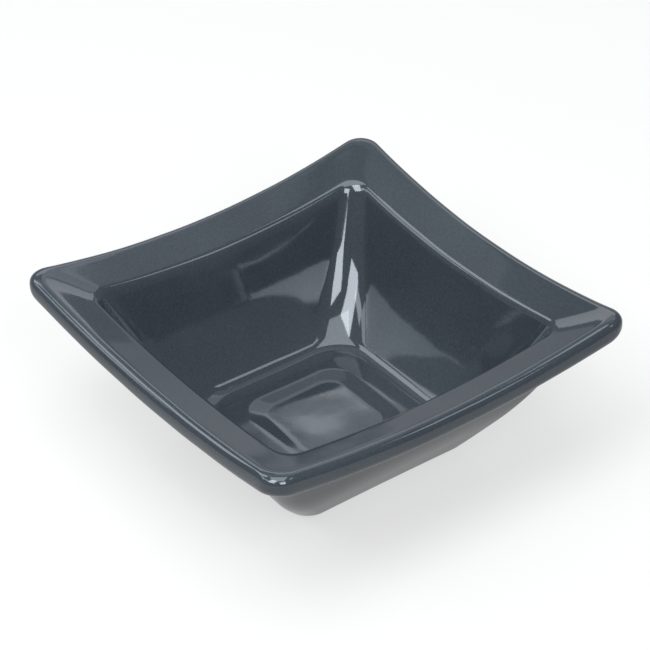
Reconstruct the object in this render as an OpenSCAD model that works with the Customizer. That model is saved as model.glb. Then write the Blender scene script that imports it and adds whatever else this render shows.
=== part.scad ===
// Square stoneware bowl with a raised-corner rim, glazed all over but for the foot it stands on.
// Millimetres, +Z up. The bowl stands on the plane z = 0, centred on the Z axis, sides along X and Y.
// A section is drawn once, from the middle of the well out over the rim and back under the foot.
// Each point of the section becomes a ring, a rounded square, and the rings are lofted together.

/* [Outline] */
// Width across the lines that the rim's corners stand on
outer_side = 130; // [116:1:200]
// How far each side of the rim draws in at its middle
side_hollow = 0.75; // [0:0.05:3]
// Corner radius of the rim's outer edge, seen from above
rim_corner_radius = 7; // [4:0.5:16]
// Corner radius of the well at its mouth, seen from above
mouth_corner_radius = 6; // [4:0.5:20]
// Corner radius of the well where its wall bows out furthest, seen from above
wall_corner_radius = 10.5; // [6:0.5:18]
// Corner radius of the well at its floor, seen from above
floor_corner_radius = 12; // [6:0.5:15]
// Corner radius of the base, seen from below
base_corner_radius = 7.2; // [4:0.2:12]

/* [Rim] */
// Width of the rim from its outer edge to the mouth of the well
rim_width = 15; // [10:0.5:22]
// Rise of the rim from the mouth of the well to its outer edge, at the middle of a side
rim_rise = 5.1; // [1:0.1:9]
// How much higher the rim's corner lines meet than the middle of a side
corner_rise = 7; // [0:0.1:12]
// Rounding between the rim's top and the wall of the well
lip_round = 3.8; // [2:0.1:12]
// Thickness of the rim, measured straight down at its outer edge
edge_thickness = 7.2; // [6:0.1:10]
// Rounding along the top and the bottom of the rim's outer edge
edge_round = 2.5; // [1.2:0.1:3]
// How far the rim overhangs the line where its underside meets the wall
rim_overhang = 9.5; // [5:0.5:14]
// Fillet between the rim's underside and the outside of the wall
neck_round = 7; // [3:0.1:14]

/* [Well] */
// Depth from the mouth of the well to its floor, at the middle of a side
well_depth = 35.3; // [28:0.1:45]
// Width of the well across its floor
floor_side = 56.8; // [50:0.1:64]
// Fillet where the well's floor turns up into its wall
floor_round = 6.7; // [2:0.1:8]
// How far the well's wall bows outward between its floor and its mouth
wall_bow = 3.8; // [0.6:0.1:4.2]
// How far up the wall that bow is deepest, as a share of the way from the floor to the mouth
wall_bow_share = 0.36; // [0.3:0.01:0.5]
// How far the bow is eased up and down the wall, as a share of the shorter way to the wall's ends
wall_ease_share = 0.75; // [0.2:0.05:0.8]
// Width of floor left around the shallow square dish pressed in its middle
dish_border = 9.4; // [6:0.1:14]
// Depth of that dish below the floor
dish_depth = 0.8; // [0.3:0.1:1.6]
// Width of the dish's sloping edge
dish_slope = 4.4; // [3:0.1:6]
// Rounding at the top and bottom of the dish's sloping edge
dish_round = 9; // [1:0.1:12]

/* [Base] */
// How far the outside of the wall bows inward between the neck and the base
side_bow = 1.4; // [0.2:0.1:2.4]
// How far that bow is eased up and down the wall, as a share of half the wall's height
side_ease_share = 0.32; // [0.1:0.02:0.7]
// Height of the well's floor above the table
floor_height = 8.3; // [7:0.1:14]
// How much further out than the floor the base meets the outside of the wall
base_spread = 2.6; // [2:0.1:9]
// Height of the base's underside above the table
base_height = 1.5; // [1.2:0.1:3]
// Rounding where the outside of the wall turns under into the base
base_round = 4; // [2:0.1:5.5]

/* [Foot] */
// How far the foot ring stands in from the line where the base meets the wall
foot_inset = 4; // [3.5:0.25:8]
// Width of the foot ring's underside, roundings included
foot_width = 4.4; // [3:0.1:8]
// Rounding along both edges of the foot ring's underside
foot_round = 0.5; // [0.3:0.05:0.8]
// Fillet where the foot ring meets the base, inside and outside
foot_fillet = 0.5; // [0.3:0.05:0.8]
// Height of the recess inside the foot ring above the table
recess_height = 2.6; // [1.4:0.1:4]

/* [Glaze] */
// Thickness of the glaze
glaze_thickness = 0.5; // [0.2:0.05:0.8]

/* [Smoothness] */
// Facets round each corner of a ring
corner_steps = 5; // [3:1:8]
// Facets along each side of a ring
side_steps = 6; // [4:1:10]
// Facets across each large rounding of the section
round_steps = 4; // [2:1:6]
// Facets across each small rounding of the section
edge_steps = 3; // [2:1:5]
// Facets up the wall
wall_steps = 3; // [2:1:6]
// Facets across each fine rounding of the dish and the foot
fine_steps = 2; // [1:1:3]

/* [Hidden] */
rim_half = outer_side / 2;
mouth_half = rim_half - rim_width;
neck_half = rim_half - rim_overhang;
floor_half = floor_side / 2;
dish_half = floor_half - dish_border;
base_half = floor_half + base_spread;
foot_half = base_half - foot_inset;
mouth_height = floor_height + well_depth;
rim_height = mouth_height + rim_rise;
rim_slope = rim_rise / rim_width;
neck_height = rim_height - edge_thickness - rim_slope * rim_overhang;
rise_rate = corner_rise / (rim_half * rim_half);
hollow_rate = side_hollow / (rim_half * rim_half);
body_colour = [0.62, 0.58, 0.52];
glaze_colour = [0.25, 0.28, 0.32];

// Unit vector along v.
function unit(v) = v / norm(v);

// v turned by an angle, counter-clockwise.
function turned(v, angle) =
    [v.x * cos(angle) - v.y * sin(angle), v.x * sin(angle) + v.y * cos(angle)];

// The point that share of the way from a to b, pushed square to that line by the given distance.
function bowed(a, b, share, push) =
    a + (b - a) * share + push * turned(unit(b - a), -90);

// The radius that rounds corner b of the line a b c over the given share of its shorter arm.
function eased(a, b, c, share) =
    share * min(norm(b - a), norm(c - b)) / tan(acos(unit(b - a) * unit(c - b)) / 2);

// The skin's section as a chain of corners: where each stands, its rounding, and its facets.
floor_foot = [floor_half, floor_height];
mouth_edge = [mouth_half, mouth_height];
neck_edge = [neck_half, neck_height];
base_edge = [base_half, base_height];
foot_out = foot_half + glaze_thickness;
foot_in = foot_half - foot_width - glaze_thickness;
skin_round = foot_round + glaze_thickness;
side_bow_share = 0.5;
wall_bend = bowed(floor_foot, mouth_edge, wall_bow_share, wall_bow);
side_bend = bowed(neck_edge, base_edge, side_bow_share, -side_bow);
CORNERS = [
    [[dish_half - dish_slope, floor_height - dish_depth], dish_round, fine_steps],
    [[dish_half, floor_height], dish_round, fine_steps],
    [floor_foot, floor_round, round_steps],
    [wall_bend, eased(floor_foot, wall_bend, mouth_edge, wall_ease_share), wall_steps],
    [mouth_edge, lip_round, round_steps],
    [[rim_half, rim_height], edge_round, edge_steps],
    [[rim_half, rim_height - edge_thickness], edge_round, edge_steps],
    [neck_edge, neck_round, round_steps],
    [side_bend, eased(neck_edge, side_bend, base_edge, side_ease_share), wall_steps],
    [base_edge, base_round, edge_steps],
    [[foot_out, base_height], foot_fillet, fine_steps],
    [[foot_out, -glaze_thickness], skin_round, fine_steps],
    [[foot_in, -glaze_thickness], skin_round, fine_steps],
    [[foot_in, recess_height], foot_fillet, fine_steps]
];
well_centre = [0, floor_height - dish_depth];
recess_centre = [0, recess_height];
last_corner = len(CORNERS) - 1;
rim_corner = 5;
coat_corner = 10;

// Where the chain stands before, at and after corner i.
function stand(i) =
    i < 0 ? well_centre : i > last_corner ? recess_centre : CORNERS[i][0];

// The rounding at corner i, as points from one straight run to the next.
function rounding(i) =
    let (
        into = unit(stand(i) - stand(i - 1)),
        away = unit(stand(i + 1) - stand(i)),
        side = sign(into.x * away.y - into.y * away.x),
        bend = acos(into * away),
        radius = CORNERS[i][1],
        steps = CORNERS[i][2],
        start = stand(i) - into * radius * tan(bend / 2),
        centre = start + side * radius * turned(into, 90)
    )
    [for (k = [0 : steps]) centre + turned(start - centre, side * bend * k / steps)];

// The whole section of the skin. The coat over the outside takes its points up to where the foot
// rounds under, and the patch inside the foot takes those from where it rounds up again.
SKIN = [for (i = [0 : last_corner]) each rounding(i)];
inside_points = len([for (i = [0 : rim_corner]) each rounding(i)]);
coat_points = 1 + len([for (i = [0 : coat_corner]) each rounding(i)]);
patch_start = len(SKIN) - len(rounding(last_corner)) - 1;

// The skin's outward direction at point i of the section.
function outward(i) =
    let (
        before = i == 0 ? well_centre : SKIN[i - 1],
        after = i == len(SKIN) - 1 ? recess_centre : SKIN[i + 1],
        along = unit(unit(SKIN[i] - before) + unit(after - SKIN[i]))
    )
    turned(along, 90);

// The clay's section lies one glaze thickness under the skin's.
CLAY = [for (i = [0 : len(SKIN) - 1]) SKIN[i] - glaze_thickness * outward(i)];
well_clay = well_centre - [0, glaze_thickness];
recess_clay = recess_centre + [0, glaze_thickness];

// Corner radii of rings by their half width, on the inside with the rim's top, and on the outside.
INSIDE_RADII = [
    [0, 0],
    [floor_half, floor_corner_radius],
    [wall_bend.x, wall_corner_radius],
    [mouth_half, mouth_corner_radius],
    [rim_half, rim_corner_radius]
];
OUTSIDE_RADII = [
    [0, 0],
    [base_half, base_corner_radius],
    [rim_half, rim_corner_radius]
];

// Points a to b of a section, in either direction, each with the corner radius of its ring.
function part_of(section, a, b) =
    [for (i = [a : (b >= a ? 1 : -1) : b])
        let (half = section[i].x)
        [half, section[i].y, min(half, lookup(half, i < inside_points ? INSIDE_RADII : OUTSIDE_RADII))]];

// How strongly a ring follows the rim's rise to its corners: not at all at the floor, fully at the mouth.
function rise_share(height) =
    let (part = min(1, max(0, (height - floor_height) / (mouth_height - floor_height))))
    part * sqrt(part);

// A flat point of a ring raised to its place on the bent bowl.
function raised(p, half, height) =
    [p.x, p.y, height + rise_rate * rise_share(height) * (p * p - half * half)];

// One ring of the bowl: a rounded square with hollow sides, for a point of the section with its radius.
function ring(point) =
    let (
        half = point.x,
        radius = point.z,
        flat = half - radius,
        hollow = hollow_rate * half * half
    )
    [for (quarter = [0 : 3]) each concat(
        [for (i = [0 : corner_steps])
            raised(turned([flat, flat] + radius * [cos(90 * i / corner_steps), sin(90 * i / corner_steps)],
                90 * quarter), half, point.y)],
        [for (i = [1 : side_steps - 1])
            let (across = 1 - 2 * i / side_steps)
            raised(turned([flat * across, half - hollow * (1 - across * across)], 90 * quarter),
                half, point.y)]
    )];

ring_points = 4 * (corner_steps + side_steps);

// The point of a section list on the Z axis, in space.
function on_axis(point) = [point.x, 0, point.y];

// A closed solid from one point through a row of rings to another point.
// From ring number back_from on, the four-sided gaps are split the other way, so that two solids
// that share rings in opposite order share their facets too.
module loft(first, section, last, back_from) {
    rings = [for (point = section) each ring(point)];
    count = len(section);
    end = 1 + count * ring_points;
    function at(r, k) = 1 + r * ring_points + k % ring_points;
    polyhedron(
        points = concat([on_axis(first)], rings, [on_axis(last)]),
        faces = concat(
            [for (k = [0 : ring_points - 1]) [0, at(0, k + 1), at(0, k)]],
            [for (r = [0 : count - 2], k = [0 : ring_points - 1]) each
                r < back_from
                ? [[at(r, k), at(r, k + 1), at(r + 1, k + 1)], [at(r, k), at(r + 1, k + 1), at(r + 1, k)]]
                : [[at(r, k), at(r, k + 1), at(r + 1, k)], [at(r, k + 1), at(r + 1, k + 1), at(r + 1, k)]]],
            [for (k = [0 : ring_points - 1]) [at(count - 1, k), at(count - 1, k + 1), end]]
        ),
        convexity = 6
    );
}

// The fired clay: well, rim, wall and foot ring pressed in one piece.
module stoneware_body() {
    color(body_colour)
        loft(well_clay, part_of(CLAY, 0, len(CLAY) - 1), recess_clay, len(CLAY));
}

// The glaze over the well, the rim and the outside, down to the bare foot ring.
module glaze_coat() {
    color(glaze_colour)
        loft(
            well_centre,
            concat(part_of(SKIN, 0, coat_points - 1), part_of(CLAY, coat_points - 1, 0)),
            well_clay,
            coat_points
        );
}

// The patch of glaze inside the foot ring, parted from the rest by the bare clay of the ring.
module base_glaze() {
    color(glaze_colour)
        loft(
            recess_clay,
            concat(part_of(CLAY, len(CLAY) - 1, patch_start), part_of(SKIN, patch_start, len(SKIN) - 1)),
            recess_centre,
            0
        );
}

stoneware_body();
glaze_coat();
base_glaze();
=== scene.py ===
"""The looks of a square glazed stoneware bowl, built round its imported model. Metres, +Z up."""
import math
from collections import namedtuple

import bmesh
import bpy
from mathutils import Matrix, Vector, noise


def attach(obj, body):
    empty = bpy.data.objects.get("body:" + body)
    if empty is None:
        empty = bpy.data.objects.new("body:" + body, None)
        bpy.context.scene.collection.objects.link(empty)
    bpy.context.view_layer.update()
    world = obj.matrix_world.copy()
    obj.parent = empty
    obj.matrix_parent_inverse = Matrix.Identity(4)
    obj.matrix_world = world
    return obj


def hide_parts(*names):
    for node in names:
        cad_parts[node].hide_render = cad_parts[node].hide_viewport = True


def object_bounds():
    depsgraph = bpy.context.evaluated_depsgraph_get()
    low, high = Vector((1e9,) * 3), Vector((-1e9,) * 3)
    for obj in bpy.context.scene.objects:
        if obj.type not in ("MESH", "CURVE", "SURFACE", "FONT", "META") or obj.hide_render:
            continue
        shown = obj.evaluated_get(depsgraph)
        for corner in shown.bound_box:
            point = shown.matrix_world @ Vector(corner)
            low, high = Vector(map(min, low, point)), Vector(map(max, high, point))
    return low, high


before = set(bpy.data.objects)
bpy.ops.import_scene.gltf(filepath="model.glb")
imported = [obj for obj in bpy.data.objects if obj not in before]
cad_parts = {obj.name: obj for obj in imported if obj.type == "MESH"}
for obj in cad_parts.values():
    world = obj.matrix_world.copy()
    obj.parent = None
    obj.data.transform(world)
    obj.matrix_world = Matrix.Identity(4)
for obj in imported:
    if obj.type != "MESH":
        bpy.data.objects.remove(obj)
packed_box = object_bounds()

# ---------------------------------------------------------------- sizes of the bowl, in millimetres
# A HALF is half a width. The rim draws in from it by SIDE_HOLLOW at the middle of each side.
# A HEIGHT is above the table, before the corners are lifted by CORNER_RISE. A ROUND is a rounding
# of the section, and a CORNER_RADIUS is seen from above.

MM = 0.001

RIM_HALF = 65.0
RIM_HEIGHT = 48.7
RIM_CORNER_RADIUS = 7.0
SIDE_HOLLOW = 0.75
CORNER_RISE = 7.0
EDGE_THICKNESS = 7.2
EDGE_ROUND = 2.9

MOUTH_HALF = 50.0
MOUTH_HEIGHT = 43.6
MOUTH_CORNER_RADIUS = 6.0
LIP_ROUND = 3.8

FLOOR_HALF = 28.4
FLOOR_HEIGHT = 8.3
FLOOR_CORNER_RADIUS = 12.0
FLOOR_ROUND = 6.7
WALL_BOW = 3.8
BOW_PLACE = 0.36
WALL_EASE = 0.75
WALL_CORNER_RADIUS = 10.5

DISH_HALF = 19.0
DISH_DEPTH = 0.8
DISH_SLOPE = 4.4
DISH_ROUND = 9.0

NECK_HALF = 55.5
NECK_ROUND = 7.0
SIDE_BOW = 1.4
SIDE_BOW_PLACE = 0.5
SIDE_EASE = 0.32
RIM_SLOPE = (RIM_HEIGHT - MOUTH_HEIGHT) / (RIM_HALF - MOUTH_HALF)
NECK_HEIGHT = RIM_HEIGHT - EDGE_THICKNESS - RIM_SLOPE * (RIM_HALF - NECK_HALF)

BASE_HALF = 31.0
BASE_HEIGHT = 1.5
BASE_ROUND = 4.0
BASE_CORNER_RADIUS = 7.2
FOOT_HALF = 27.0
FOOT_WIDTH = 4.4
FOOT_ROUND = 0.5
FOOT_FILLET = 0.5
RECESS_HEIGHT = 2.6

# The glaze's thickness, and how far its rolled free edge stands out, as a share of that.
GLAZE = 0.5
ROLL = 0.3

# How the rim's rise to its corners dies away down the walls.
RISE_POWER = 1.5

# How far the surfaces waver from true, and over what length. They don't up to the steady height,
# and the wavering sets in over as much height again. The seed makes every run waver alike: without
# one, the noise goes by the clock.
WAVER = 0.09
WAVER_LENGTH = 15.0
STEADY_HEIGHT = 3.0
WAVER_SEED = 1

# How finely the surfaces are stepped.
LONGEST_FACET = 1.3
CORNER_FACETS = 14
SIDE_FACETS = 44
QUARTER_FACETS = CORNER_FACETS + SIDE_FACETS
RING_FACETS = 4 * QUARTER_FACETS

# Vertices closer than this are one, and a point this near the axis is on it.
MERGE_DISTANCE = 0.0005
ON_AXIS = 1e-6

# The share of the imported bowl's box that the pieces are drawn in to.
BOX_SHARE = 0.9999


def clamped(value):
    """A value kept between 0 and 1."""
    return min(1.0, max(0.0, value))


# ---------------------------------------------------------------- the section and its corners
# The section runs from the well's centre up over the rim and back under the foot. Its points are
# distances out and heights until they are drawn in the XZ plane.

def bowed(a, b, place, push):
    """The point that lies the share place of the way from a to b, pushed square to that line."""
    along = (b - a).normalized()
    return a + (b - a) * place + push * Vector((along.y, -along.x))


def eased(a, b, c, share):
    """The radius that rounds corner b of the line a b c over the given share of its shorter arm."""
    bend = (b - a).angle(c - b)
    return share * min((b - a).length, (c - b).length) / math.tan(bend / 2)


WELL_CENTRE = Vector((0.0, FLOOR_HEIGHT - DISH_DEPTH))
FLOOR_FOOT = Vector((FLOOR_HALF, FLOOR_HEIGHT))
MOUTH_EDGE = Vector((MOUTH_HALF, MOUTH_HEIGHT))
WALL_BEND = bowed(FLOOR_FOOT, MOUTH_EDGE, BOW_PLACE, WALL_BOW)
NECK = Vector((NECK_HALF, NECK_HEIGHT))
BASE = Vector((BASE_HALF, BASE_HEIGHT))
SIDE_BEND = bowed(NECK, BASE, SIDE_BOW_PLACE, -SIDE_BOW)
FOOT_OUT = FOOT_HALF + GLAZE
FOOT_IN = FOOT_HALF - FOOT_WIDTH - GLAZE
RECESS_CENTRE = Vector((0.0, RECESS_HEIGHT))

Corner = namedtuple("Corner", "place radius facets")
CORNERS = [
    Corner(Vector((DISH_HALF - DISH_SLOPE, FLOOR_HEIGHT - DISH_DEPTH)), DISH_ROUND, 4),
    Corner(Vector((DISH_HALF, FLOOR_HEIGHT)), DISH_ROUND, 4),
    Corner(FLOOR_FOOT, FLOOR_ROUND, 12),
    Corner(WALL_BEND, eased(FLOOR_FOOT, WALL_BEND, MOUTH_EDGE, WALL_EASE), 24),
    Corner(MOUTH_EDGE, LIP_ROUND, 10),
    Corner(Vector((RIM_HALF, RIM_HEIGHT)), EDGE_ROUND, 12),
    Corner(Vector((RIM_HALF, RIM_HEIGHT - EDGE_THICKNESS)), EDGE_ROUND, 8),
    Corner(NECK, NECK_ROUND, 8),
    Corner(SIDE_BEND, eased(NECK, SIDE_BEND, BASE, SIDE_EASE), 12),
    Corner(BASE, BASE_ROUND, 8),
    Corner(Vector((FOOT_OUT, BASE_HEIGHT)), FOOT_FILLET, 4),
    Corner(Vector((FOOT_OUT, -GLAZE)), FOOT_ROUND + GLAZE, 4),
    Corner(Vector((FOOT_IN, -GLAZE)), FOOT_ROUND + GLAZE, 4),
    Corner(Vector((FOOT_IN, RECESS_HEIGHT)), FOOT_FILLET, 4),
]

# Which of those corners end the bowl's inside and rim, and the coat, and which starts the patch.
BRIM_CORNER = 5
COAT_CORNER = 10
PATCH_CORNER = 13


# ---------------------------------------------------------------- drawing the section

def flat(point):
    """A point of the section as a place in the XZ plane."""
    return Vector((point.x, 0.0, point.y))


def draw_to(bm, pen, goal):
    """Draws an even run of facets from the vertex pen to a point, and returns its last vertex."""
    start, end = pen.co.copy(), flat(goal)
    steps = max(1, math.ceil((end - start).length / LONGEST_FACET))
    for _ in range(steps):
        pen = bmesh.ops.extrude_vert_indiv(bm, verts=[pen])["verts"][0]
        bmesh.ops.translate(bm, verts=[pen], vec=(end - start) / steps)
    return pen


def draw_rounding(bm, pen, into, away, radius, facets):
    """Swings the vertex pen round from one direction to the next, and returns the last vertex."""
    side = math.copysign(1.0, into.x * away.y - into.y * away.x)
    centre = pen.co + radius * side * Vector((-into.y, 0.0, into.x))
    swung = bmesh.ops.spin(bm, geom=[pen], cent=centre, axis=(0.0, -side, 0.0),
                           angle=into.angle(away), steps=facets, use_duplicate=False)
    return [v for v in swung["geom_last"] if isinstance(v, bmesh.types.BMVert)][0]


def draw_outline(bm):
    """Draws the whole section of the skin as a wire. Returns its points in order, and for each
    corner how many points there are when its rounding begins and when it ends."""
    places = [WELL_CENTRE] + [corner.place for corner in CORNERS] + [RECESS_CENTRE]
    first = pen = bm.verts.new(flat(WELL_CENTRE))
    marks = []
    for before, corner, after in zip(places, CORNERS, places[2:]):
        into = (corner.place - before).normalized()
        away = (after - corner.place).normalized()
        turn = into.angle(away)
        pen = draw_to(bm, pen, corner.place - into * corner.radius * math.tan(turn / 2))
        start = len(bm.verts)
        pen = draw_rounding(bm, pen, into, away, corner.radius, corner.facets)
        marks.append((start, len(bm.verts)))
    draw_to(bm, pen, RECESS_CENTRE)
    points, edge, vert = [first.co.copy()], None, first
    while onward := [e for e in vert.link_edges if e is not edge]:
        edge = onward[0]
        vert = edge.other_vert(vert)
        points.append(vert.co.copy())
    return points, marks


def outward(points, i):
    """The skin's outward direction at one point of the section."""
    before = points[max(i - 1, 0)]
    after = points[min(i + 1, len(points) - 1)]
    along = ((points[i] - before).normalized() + (after - points[i]).normalized()).normalized()
    return Vector((-along.z, 0.0, along.x))


def draw_wire(bm, points, tag):
    """A wire through the section's points, each vertex drawn out of the last and tagged with the
    corner radius that its ring of the bowl is pressed with."""
    pen = bm.verts.new(points[0][0])
    for point, inside in points[1:]:
        pen = bmesh.ops.extrude_vert_indiv(bm, verts=[pen])["verts"][0]
        pen.co = point
        pen[tag] = corner_radius(point.x, inside)


# ---------------------------------------------------------------- turning it and pressing it square

# Half widths and the corner radii there, from the axis out.
INSIDE_RADII = [
    (0.0, 0.0), (FLOOR_HALF, FLOOR_CORNER_RADIUS), (WALL_BEND.x, WALL_CORNER_RADIUS),
    (MOUTH_HALF, MOUTH_CORNER_RADIUS), (RIM_HALF, RIM_CORNER_RADIUS),
]
OUTSIDE_RADII = [(0.0, 0.0), (BASE_HALF, BASE_CORNER_RADIUS), (RIM_HALF, RIM_CORNER_RADIUS)]


def corner_radius(half, inside):
    """Corner radius of a ring of a half width, on the bowl's inside and rim or on its outside."""
    stations = INSIDE_RADII if inside else OUTSIDE_RADII
    for (a, radius_a), (b, radius_b) in zip(stations, stations[1:]):
        if half <= b:
            return min(half, radius_a + (radius_b - radius_a) * (half - a) / (b - a))
    return RIM_CORNER_RADIUS


def rise_share(height):
    """How strongly a ring follows the rim's rise: not at all at the floor, fully at the mouth."""
    return clamped((height - FLOOR_HEIGHT) / (MOUTH_HEIGHT - FLOOR_HEIGHT)) ** RISE_POWER


def pressed(co, radius):
    """Where a point of the round bowl goes when the bowl is pressed square and its corners lifted.
    Each quarter of a ring is the turn of a corner and then the side that follows it."""
    half = math.hypot(co.x, co.y)
    if half < ON_AXIS:
        return co.copy()
    station = round(math.atan2(co.y, co.x) * RING_FACETS / math.tau) % RING_FACETS
    quarter, step = divmod(station, QUARTER_FACETS)
    straight = half - radius
    if step <= CORNER_FACETS:
        angle = math.pi / 2 * step / CORNER_FACETS
        x, y = straight + radius * math.cos(angle), straight + radius * math.sin(angle)
    else:
        across = 1 - 2 * (step - CORNER_FACETS) / SIDE_FACETS
        hollow = SIDE_HOLLOW * (half / RIM_HALF) ** 2 * (1 - across * across)
        x, y = straight * across, half - hollow
    z = co.z + CORNER_RISE / RIM_HALF ** 2 * rise_share(co.z) * (x * x + y * y - half * half)
    for _ in range(quarter):
        x, y = -y, x
    return Vector((x, y, z))


def out_of_true(co):
    """A point of the pressed bowl moved by the hair that a hand leaves, but for the foot, which
    stands flat."""
    part = clamped((co.z - STEADY_HEIGHT) / STEADY_HEIGHT)
    return co + WAVER * part * part * (3 - 2 * part) * noise.noise_vector(co / WAVER_LENGTH)


def linked(name, data):
    """A new object of the scene."""
    made = bpy.data.objects.new(name, data)
    bpy.context.scene.collection.objects.link(made)
    return made


def shaped(name, points):
    """A piece turned from a section that starts and ends on the axis, pressed square. A quarter is
    turned in facets, and then repeated three times."""
    bm = bmesh.new()
    tag = bm.verts.layers.float.new("corner radius")
    draw_wire(bm, points, tag)
    turn = {"cent": (0, 0, 0), "axis": (0, 0, 1), "use_merge": False}
    bmesh.ops.spin(bm, geom=bm.verts[:] + bm.edges[:], angle=math.pi / 2, steps=QUARTER_FACETS,
                   use_duplicate=False, **turn)
    bmesh.ops.spin(bm, geom=bm.verts[:] + bm.edges[:] + bm.faces[:], angle=math.pi * 3 / 2, steps=3,
                   use_duplicate=True, **turn)
    for vert in bm.verts:
        vert.co = out_of_true(pressed(vert.co, vert[tag]))
    bmesh.ops.remove_doubles(bm, verts=bm.verts[:], dist=MERGE_DISTANCE)
    bmesh.ops.scale(bm, vec=(MM, MM, MM), verts=bm.verts[:])
    bmesh.ops.recalc_face_normals(bm, faces=bm.faces[:])
    for face in bm.faces:
        face.smooth = True
    mesh = bpy.data.meshes.new(name)
    bm.to_mesh(mesh)
    bm.free()
    return linked(name, mesh)


def rolled_edge(skin, clay, end):
    """The two points that roll the coat's free edge over, from the skin's point at its end to the
    clay's point under that."""
    (outer, inside), inner = skin[end], clay[end][0]
    onward = (outer - skin[end - 1][0]).normalized() * GLAZE * ROLL
    return [((outer * 3 + inner) / 4 + onward, inside), ((outer + inner * 3) / 4 + onward, inside)]


def draw_in(pieces, box):
    """Draws all the pieces in by the same hair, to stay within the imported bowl's own box."""
    verts = [v.co for piece in pieces for v in piece.data.vertices]
    share = [min(1.0, BOX_SHARE * box[1][i] / max(abs(co[i]) for co in verts)) for i in range(3)]
    for piece in pieces:
        piece.data.transform(Matrix.Diagonal(share + [1.0]))


# The skin is the glaze's outer face, and the clay lies a glaze's thickness under it. Each point
# comes with whether it belongs to the bowl's inside and rim.
section = bmesh.new()
outline, marks = draw_outline(section)
section.free()
brim = marks[BRIM_CORNER][1]
skin = [(point, i <= brim) for i, point in enumerate(outline)]
clay = [(point - GLAZE * outward(outline, i), i <= brim) for i, point in enumerate(outline)]
coat_end = marks[COAT_CORNER][1]
patch_start = marks[PATCH_CORNER][0] - 1

noise.seed_set(WAVER_SEED)
stoneware = shaped("stoneware_clay", clay)
coat_edge = rolled_edge(skin, clay, coat_end - 1)
coat = shaped("slate_glaze", skin[:coat_end] + coat_edge + clay[:coat_end][::-1])
patch = shaped("foot_glaze", skin[patch_start:][::-1] + clay[patch_start:])
draw_in((stoneware, coat, patch), packed_box)


# ---------------------------------------------------------------- finishes

GLAZE_DARK = (0.028, 0.035, 0.043)
GLAZE_LIGHT = (0.036, 0.045, 0.055)
GLAZE_IOR = 1.7
GLAZE_REFLECTION = (0.84, 0.92, 1.0, 1.0)
CLAY_DARK = (0.40, 0.36, 0.31)
CLAY_LIGHT = (0.53, 0.49, 0.43)


class Finish:
    """A material's nodes, added one at a time and wired by name."""

    def __init__(self, name):
        self.material = bpy.data.materials.new(name)
        self.material.use_nodes = True
        tree = self.material.node_tree
        self.nodes, self.links = tree.nodes, tree.links
        self.shader = self.nodes["Principled BSDF"]
        self.place = self.nodes.new("ShaderNodeTexCoord").outputs["Object"]

    def plug(self, value, socket):
        """Puts a value into a socket, be it a number, a colour or another socket."""
        if isinstance(value, bpy.types.NodeSocket):
            self.links.new(value, socket)
        else:
            socket.default_value = value

    def mottle(self, scale, detail=2.0, roughness=0.5):
        """Cloudy noise, features a metre over scale across."""
        node = self.nodes.new("ShaderNodeTexNoise")
        self.plug(scale, node.inputs["Scale"])
        self.plug(detail, node.inputs["Detail"])
        self.plug(roughness, node.inputs["Roughness"])
        self.plug(self.place, node.inputs["Vector"])
        return node.outputs["Fac"]

    def ramp(self, source, *stops):
        """A ramp between two stops, each a place and a colour or a place and a grey level."""
        node = self.nodes.new("ShaderNodeValToRGB")
        for element, (place, value) in zip(node.color_ramp.elements, stops):
            element.position = place
            element.color = (*value, 1) if isinstance(value, tuple) else (value, value, value, 1)
        self.plug(source, node.inputs["Fac"])
        return node.outputs["Color"]

    def multiplied(self, a, b):
        """Two colours multiplied. They are the mix node's sockets 6 and 7."""
        node = self.nodes.new("ShaderNodeMix")
        node.data_type, node.blend_type = "RGBA", "MULTIPLY"
        self.plug(1.0, node.inputs["Factor"])
        self.plug(a, node.inputs[6])
        self.plug(b, node.inputs[7])
        return node.outputs[2]

    def maths(self, operation, *values):
        """A sum worked out on numbers and sockets."""
        node = self.nodes.new("ShaderNodeMath")
        node.operation = operation
        for value, socket in zip(values, node.inputs):
            self.plug(value, socket)
        return node.outputs[0]

    def bump(self, height, strength, depth, under=None):
        """Fine relief on the surface, depth in metres, over another relief if there is one."""
        node = self.nodes.new("ShaderNodeBump")
        self.plug(strength, node.inputs["Strength"])
        self.plug(depth, node.inputs["Distance"])
        self.plug(height, node.inputs["Height"])
        if under:
            self.plug(under, node.inputs["Normal"])
        return node.outputs["Normal"]

    def wire(self, value, name):
        """Puts a value into one of the shader's own sockets."""
        self.plug(value, self.shader.inputs[name])


def slate_glaze():
    """Gloss slate-grey glaze: cloudy in tone, finely grained, its gloss scuffed as fine as dust."""
    glaze = Finish("slate glaze")
    cloud = glaze.ramp(glaze.mottle(scale=26.0, detail=3.0), (0.3, GLAZE_DARK), (0.7, GLAZE_LIGHT))
    grain = glaze.ramp(glaze.mottle(scale=1400.0, roughness=0.7), (0.35, 0.86), (0.65, 1.12))
    scuffs = glaze.mottle(scale=60.0, detail=4.0, roughness=0.65)
    ripple = glaze.bump(glaze.mottle(scale=140.0, detail=1.0), strength=0.35, depth=0.00004)
    pores = glaze.bump(glaze.mottle(scale=900.0), strength=0.25, depth=0.00001, under=ripple)
    glaze.wire(glaze.multiplied(cloud, grain), "Base Color")
    glaze.wire(glaze.ramp(scuffs, (0.35, 0.055), (0.7, 0.085)), "Roughness")
    glaze.wire(pores, "Normal")
    glaze.wire(GLAZE_IOR, "IOR")
    glaze.wire(GLAZE_REFLECTION, "Specular Tint")
    return glaze.material


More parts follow.
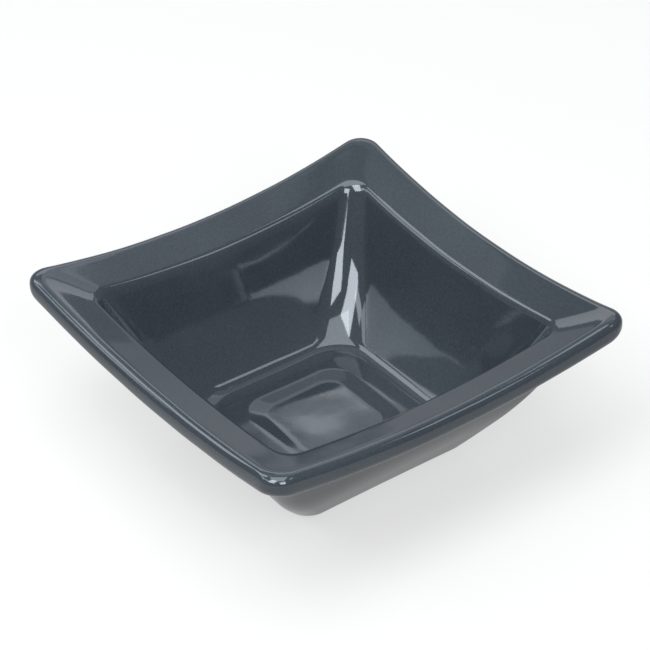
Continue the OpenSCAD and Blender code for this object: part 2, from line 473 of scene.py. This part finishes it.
def bare_clay():
    """Unglazed fired clay, matt and sandy."""
    clay = Finish("bare clay")
    clouds = clay.mottle(scale=90.0, detail=4.0, roughness=0.6)
    body = clay.ramp(clouds, (0.3, CLAY_DARK), (0.7, CLAY_LIGHT))
    sand = clay.ramp(clay.mottle(scale=2600.0, detail=1.0), (0.62, 1.0), (0.7, 0.55))
    wear = clay.ramp(clay.mottle(scale=400.0, detail=3.0), (0.3, 0.78), (0.7, 0.92))
    tooth = clay.mottle(scale=1800.0, detail=3.0, roughness=0.7)
    clay.wire(clay.multiplied(body, sand), "Base Color")
    clay.wire(wear, "Roughness")
    clay.wire(clay.bump(tooth, strength=0.6, depth=0.00006), "Normal")
    return clay.material


glaze_finish = slate_glaze()
coat.data.materials.append(glaze_finish)
patch.data.materials.append(glaze_finish)
stoneware.data.materials.append(bare_clay())

for piece, node in ((stoneware, "stoneware_body"), (coat, "glaze_coat"), (patch, "base_glaze")):
    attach(piece, "root")
    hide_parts(node)


# ---------------------------------------------------------------- camera

CAMERA_AZIMUTH = math.radians(54.098)
CAMERA_ELEVATION = math.radians(35.976)
CAMERA_ROLL = math.radians(-1.2)
CAMERA_DISTANCE = 0.93572
AIM_ACROSS = 0.000033
AIM_UP = 0.027278
LENS = 169.76
SENSOR_WIDTH = 36.0


def axes(azimuth, elevation):
    """The level, the upright and the backward direction of something that looks at the bowl."""
    back = Vector((math.sin(azimuth) * math.cos(elevation),
                   -math.cos(azimuth) * math.cos(elevation), math.sin(elevation)))
    level = Vector((math.cos(azimuth), math.sin(azimuth), 0.0))
    return level, back.cross(level), back


def stand(thing, place, level, upright, back):
    """Stands an object at a place, on the given axes."""
    turn = Matrix((level, upright, back)).transposed()
    thing.matrix_world = Matrix.Translation(place) @ turn.to_4x4()


level, upright, back = axes(CAMERA_AZIMUTH, CAMERA_ELEVATION)
across = math.cos(CAMERA_ROLL) * level + math.sin(CAMERA_ROLL) * upright
up = -math.sin(CAMERA_ROLL) * level + math.cos(CAMERA_ROLL) * upright
middle = Vector((0, 0, FLOOR_HEIGHT * MM))
lens = bpy.data.cameras.new("camera")
lens.lens = LENS
lens.sensor_width = SENSOR_WIDTH
lens.sensor_fit = "HORIZONTAL"
camera = linked("camera", lens)
stand(camera, middle + back * CAMERA_DISTANCE + across * AIM_ACROSS + up * AIM_UP, across, up, back)
bpy.context.scene.camera = camera


# ---------------------------------------------------------------- floor

FLOOR_REACH = 3.0
FLOOR_GREY = 0.28

# How brightly the floor glows to the camera, and the share of that glow in reflections.
FLOOR_GLOW = 0.6
REFLECTED_GLOW = 0.55

floor_mesh = bpy.data.meshes.new("floor")
bm = bmesh.new()
bmesh.ops.create_grid(bm, x_segments=1, y_segments=1, size=FLOOR_REACH)
bm.to_mesh(floor_mesh)
bm.free()
floor = linked("floor", floor_mesh)

white = Finish("white floor")
path = white.nodes.new("ShaderNodeLightPath").outputs
seen = white.maths("MULTIPLY_ADD", path["Is Glossy Ray"], REFLECTED_GLOW, path["Is Camera Ray"])
white.wire((FLOOR_GREY, FLOOR_GREY, FLOOR_GREY, 1), "Base Color")
white.wire(1.0, "Roughness")
white.wire(0.0, "Specular IOR Level")
white.wire((1, 1, 1, 1), "Emission Color")
white.wire(white.maths("MULTIPLY", seen, FLOOR_GLOW), "Emission Strength")
floor_mesh.materials.append(white.material)


# ---------------------------------------------------------------- light

WORLD_COLOUR = (0.86, 0.94, 1.0, 1)
WORLD_STRENGTH = 0.27
LIGHT_DISTANCE = 1.1
LIGHT_AIM = Vector((0, 0, 0.03))

# Panels of light that face the bowl: name, azimuth from the camera and elevation above the table in
# degrees, width, height and radiance.
SOFTBOXES = [
    ("left softbox", -40, 55, 0.46, 0.66, 7.4),
    ("right softbox", 22, 40, 0.42, 0.55, 7.4),
    ("near left panel", -68, 46, 0.4, 0.19, 3.2),
    ("far left panel", -124, 44, 0.3, 0.6, 2.9),
    ("low left panel", -96, 38, 0.4, 0.26, 2.2),
    ("right strip light", 84, 51, 0.25, 0.16, 2.6),
    ("back panel", 180, 30.5, 0.96, 0.23, 1.2),
    ("right back panel", 162, 43, 0.62, 0.26, 0.65),
    ("high back panel", 180, 58, 1.15, 0.36, 0.28),
    ("low back panel", 173, 11, 0.8, 0.3, 0.22),
    ("overhead panel", 0, 88, 0.8, 0.8, 2.6),
]

world = bpy.data.worlds.new("studio")
bpy.context.scene.world = world
world.use_nodes = True
background = world.node_tree.nodes["Background"]
background.inputs["Color"].default_value = WORLD_COLOUR
background.inputs["Strength"].default_value = WORLD_STRENGTH

for name, azimuth, elevation, width, height, radiance in SOFTBOXES:
    lamp = bpy.data.lights.new(name, "AREA")
    lamp.shape = "RECTANGLE"
    lamp.size, lamp.size_y = width, height
    lamp.energy = radiance * math.pi * width * height
    softbox = linked(name, lamp)
    level, upright, back = axes(CAMERA_AZIMUTH + math.radians(azimuth), math.radians(elevation))
    stand(softbox, LIGHT_AIM + back * LIGHT_DISTANCE, level, upright, back)
    softbox.visible_camera = False

bpy.context.scene.view_settings.view_transform = "Standard"


bpy.context.view_layer.update()
